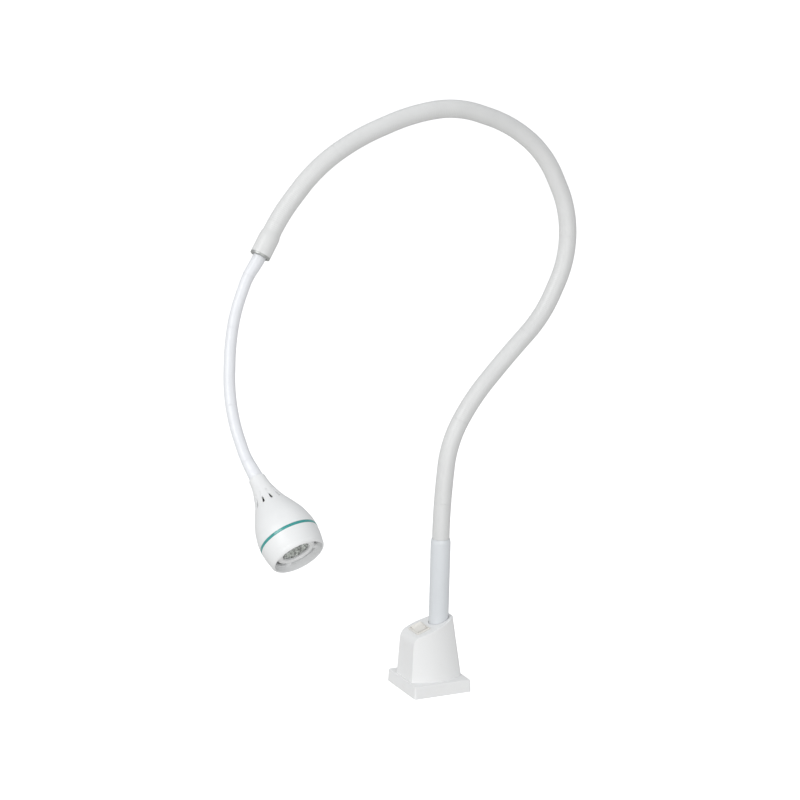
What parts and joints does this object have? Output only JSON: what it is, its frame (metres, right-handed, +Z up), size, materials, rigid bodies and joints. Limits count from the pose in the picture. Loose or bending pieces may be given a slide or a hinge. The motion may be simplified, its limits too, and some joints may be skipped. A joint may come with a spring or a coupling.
{
  "type": "examination light",
  "caption": "Gooseneck examination light: switched base, rigid swivel tube, thick and thin bendable arms, and a bell-shaped LED head with a ring accent.",
  "frame": {"origin": "centre of the base's underside, which is also the centre of the bolt pattern in the base plate", "axes": "+Z up, -Y towards the switch side of the base, +X to the right when facing the switch; the thick gooseneck rests in the plane X = 0"},
  "size_m": [0.1972, 0.3919, 0.588],
  "materials": {
    "housing_white": "satin",
    "switch_ivory": "gloss",
    "tube_paint": "satin",
    "thick_sleeve": "satin",
    "thin_sleeve": "satin",
    "coil_steel": "bare",
    "zinc_steel": "zinc plated",
    "machined_aluminium": "machined",
    "bush_plastic": "low friction",
    "brass": "bare",
    "accent_teal": "gloss translucent",
    "clear_optic": "clear",
    "reflector": "bright",
    "board_green": "solder mask",
    "board_white": "white solder mask",
    "phosphor": "gloss",
    "black_component": "matte",
    "terminal_green": "matte",
    "dark_rubber": "matte",
    "thermal_grey": "matte"
  },
  "bodies": {
    "base": {"base_housing": "housing_white", "base_plate": "zinc_steel", "plate_screws": "zinc_steel", "cable_grommet": "dark_rubber", "tube_socket": "machined_aluminium", "lower_bush": "bush_plastic", "upper_bush": "bush_plastic", "friction_washer": "zinc_steel", "switch_body": "switch_ivory", "switch_terminals": "brass", "driver_board": "board_green", "transformer": "black_component", "capacitors": "black_component", "terminal_block": "terminal_green", "arm_lead": "dark_rubber"},
    "rocker": {"switch_rocker": "switch_ivory"},
    "stem": {"lower_tube": "tube_paint", "tube_foot": "machined_aluminium", "stop_pin": "zinc_steel", "retaining_ring": "zinc_steel", "thick_coil_1": "coil_steel", "thick_sleeve_1": "thick_sleeve"},
    "thick_link_2": {"thick_coil_2": "coil_steel", "thick_sleeve_2": "thick_sleeve"},
    "thick_link_3": {"thick_coil_3": "coil_steel", "thick_sleeve_3": "thick_sleeve"},
    "thick_link_4": {"thick_coil_4": "coil_steel", "thick_sleeve_4": "thick_sleeve"},
    "thick_link_5": {"thick_coil_5": "coil_steel", "thick_sleeve_5": "thick_sleeve"},
    "thick_link_6": {"thick_coil_6": "coil_steel", "thick_sleeve_6": "thick_sleeve"},
    "thick_link_7": {"thick_coil_7": "coil_steel", "thick_sleeve_7": "thick_sleeve"},
    "reducer_link": {"thick_coil_8": "coil_steel", "thick_sleeve_8": "thick_sleeve", "reducer": "machined_aluminium", "end_ring": "machined_aluminium", "thin_coil_1": "coil_steel", "thin_sleeve_1": "thin_sleeve"},
    "thin_link_2": {"thin_coil_2": "coil_steel", "thin_sleeve_2": "thin_sleeve"},
    "thin_link_3": {"thin_coil_3": "coil_steel", "thin_sleeve_3": "thin_sleeve"},
    "head": {"thin_coil_4": "coil_steel", "thin_sleeve_4": "thin_sleeve", "head_shell": "housing_white", "accent_ring": "accent_teal", "front_bezel": "housing_white", "lens_grille": "housing_white", "lens": "clear_optic", "collimator": "reflector", "led_board": "board_white", "led_emitter": "phosphor", "thermal_pad": "thermal_grey", "heat_sink": "machined_aluminium", "board_screws": "zinc_steel", "neck_ferrule": "brass", "neck_nut": "brass"}
  },
  "joints": [
    {"name": "arm_swivel", "type": "hinge", "parent": "base", "child": "stem", "pos_m": [0, 0.009, 0.02], "axis": [0, 0, 1], "range_deg": [-160, 160]},
    {"name": "thick_bend_1", "type": "hinge", "parent": "stem", "child": "thick_link_2", "pos_m": [0, 0.01216, 0.2202], "axis": [1, 0, 0], "range_deg": [-35, 35], "deforming": ["thick_sleeve_1", "arm_lead"]},
    {"name": "thick_bend_2", "type": "hinge", "parent": "thick_link_2", "child": "thick_link_3", "pos_m": [0, 0.06048, 0.31623], "axis": [0, 0.7314, -0.682], "range_deg": [-30, 30], "deforming": ["thick_sleeve_2"]},
    {"name": "thick_bend_3", "type": "hinge", "parent": "thick_link_3", "child": "thick_link_4", "pos_m": [0, 0.12974, 0.40067], "axis": [1, 0, 0], "range_deg": [-40, 20], "deforming": ["thick_sleeve_3"]},
    {"name": "thick_bend_4", "type": "hinge", "parent": "thick_link_4", "child": "thick_link_5", "pos_m": [0, 0.1279, 0.50611], "axis": [0, -0.891, -0.454], "range_deg": [-30, 30], "deforming": ["thick_sleeve_4"]},
    {"name": "thick_bend_5", "type": "hinge", "parent": "thick_link_5", "child": "thick_link_6", "pos_m": [0, 0.04477, 0.57256], "axis": [1, 0, 0], "range_deg": [-40, 20], "deforming": ["thick_sleeve_5"]},
    {"name": "thick_bend_6", "type": "hinge", "parent": "thick_link_6", "child": "thick_link_7", "pos_m": [0, -0.06236, 0.56374], "axis": [0, -0.3584, 0.9336], "range_deg": [-30, 30], "deforming": ["thick_sleeve_6"]},
    {"name": "thick_bend_7", "type": "hinge", "parent": "thick_link_7", "child": "reducer_link", "pos_m": [0, -0.15178, 0.50225], "axis": [1, 0, 0], "range_deg": [-40, 25], "deforming": ["thick_sleeve_7", "thick_sleeve_8"]},
    {"name": "thin_bend_1", "type": "hinge", "parent": "reducer_link", "child": "thin_link_2", "pos_m": [0.00733, -0.20742, 0.41567], "axis": [0.9954, 0.0528, 0.0796], "range_deg": [-35, 35], "deforming": ["thin_sleeve_1"]},
    {"name": "thin_bend_2", "type": "hinge", "parent": "thin_link_2", "child": "thin_link_3", "pos_m": [0.02411, -0.22678, 0.34681], "axis": [0.0558, -0.9774, 0.2037], "range_deg": [-35, 35], "deforming": ["thin_sleeve_2"]},
    {"name": "thin_bend_3", "type": "hinge", "parent": "thin_link_3", "child": "head", "pos_m": [0.06123, -0.22995, 0.28348], "axis": [0.7675, 0.1399, 0.6256], "range_deg": [-35, 35], "deforming": ["thin_sleeve_3", "thin_sleeve_4"]},
    {"name": "rocker_pivot", "type": "hinge", "parent": "base", "child": "rocker", "pos_m": [0, -0.01164, 0.06003], "axis": [0, 0.9432, 0.3322], "range_deg": [-18, 0]}
  ]
}
